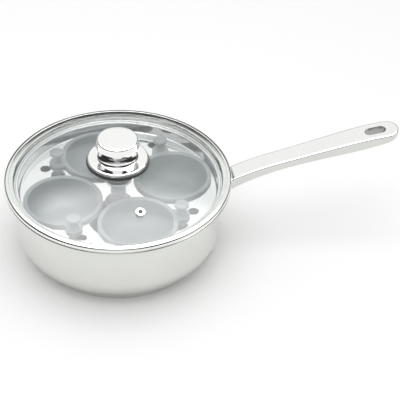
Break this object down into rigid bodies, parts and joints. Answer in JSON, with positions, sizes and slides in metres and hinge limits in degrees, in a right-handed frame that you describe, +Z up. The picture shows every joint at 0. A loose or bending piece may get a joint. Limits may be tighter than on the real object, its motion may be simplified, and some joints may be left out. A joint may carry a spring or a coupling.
{
  "type": "egg poacher pan",
  "caption": "Stainless steel egg poacher pan with a long handle, a lift-out tray of grey non-stick cups with small knobs, and a domed glass lid with steel knob and steam vent.",
  "frame": {"origin": "middle of the flat underside of the base", "axes": "+Z up along the pan's axis, +X towards the handle's tip"},
  "size_m": [0.3702, 0.2124, 0.1228],
  "materials": {
    "polished_steel": "polished",
    "tray_steel": "mirror polished",
    "knob_steel": "mirror polished",
    "fastener_steel": "plain",
    "base_aluminium": "raw, enclosed",
    "cup_coating": "grey non-stick coating",
    "grey_plastic": "heat-resistant, satin",
    "lid_glass": "clear, tempered",
    "black_rubber": "silicone rubber"
  },
  "bodies": {
    "pan": {"pan_shell": "polished_steel", "base_core": "base_aluminium", "base_cap": "polished_steel", "handle_saddle": "polished_steel", "handle_upper_shell": "polished_steel", "handle_lower_shell": "polished_steel", "hang_hole_liner": "polished_steel"},
    "tray": {"tray_plate": "tray_steel", "tray_knob": "grey_plastic", "tray_knob_washer": "fastener_steel", "tray_knob_screw": "fastener_steel"},
    "lid": {"lid_glass": "lid_glass", "lid_band": "polished_steel", "lid_seal": "black_rubber", "vent_eyelet": "knob_steel", "knob_cap": "knob_steel", "knob_body": "knob_steel", "knob_flange": "knob_steel", "knob_gasket": "black_rubber", "knob_insert": "fastener_steel", "knob_under_gasket": "black_rubber", "knob_washer": "fastener_steel", "knob_screw": "fastener_steel"},
    "poaching_cup_1": {"cup_1": "cup_coating", "cup_1_knob": "grey_plastic", "cup_1_screw": "fastener_steel"},
    "poaching_cup_2": {"cup_2": "cup_coating", "cup_2_knob": "grey_plastic", "cup_2_screw": "fastener_steel"},
    "poaching_cup_3": {"cup_3": "cup_coating", "cup_3_knob": "grey_plastic", "cup_3_screw": "fastener_steel"},
    "poaching_cup_4": {"cup_4": "cup_coating", "cup_4_knob": "grey_plastic", "cup_4_screw": "fastener_steel"}
  },
  "joints": [
    {"name": "tray_lift", "type": "slide", "parent": "pan", "child": "tray", "axis": [0, 0, 1], "range_m": [0, 0.1]},
    {"name": "lid_lift", "type": "slide", "parent": "tray", "child": "lid", "axis": [0, 0, 1], "range_m": [0, 0.15]},
    {"name": "cup_1_lift", "type": "slide", "parent": "tray", "child": "poaching_cup_1", "axis": [0, 0, 1], "range_m": [0, 0.06]},
    {"name": "cup_2_lift", "type": "slide", "parent": "tray", "child": "poaching_cup_2", "axis": [0, 0, 1], "range_m": [0, 0.06]},
    {"name": "cup_3_lift", "type": "slide", "parent": "tray", "child": "poaching_cup_3", "axis": [0, 0, 1], "range_m": [0, 0.06]},
    {"name": "cup_4_lift", "type": "slide", "parent": "tray", "child": "poaching_cup_4", "axis": [0, 0, 1], "range_m": [0, 0.06]}
  ],
  "couplings": [
    {"joint": "cup_1_lift", "follows": "lid_lift", "ratio": 0.4},
    {"joint": "cup_2_lift", "follows": "lid_lift", "ratio": 0.4},
    {"joint": "cup_3_lift", "follows": "lid_lift", "ratio": 0.4},
    {"joint": "cup_4_lift", "follows": "lid_lift", "ratio": 0.4}
  ]
}
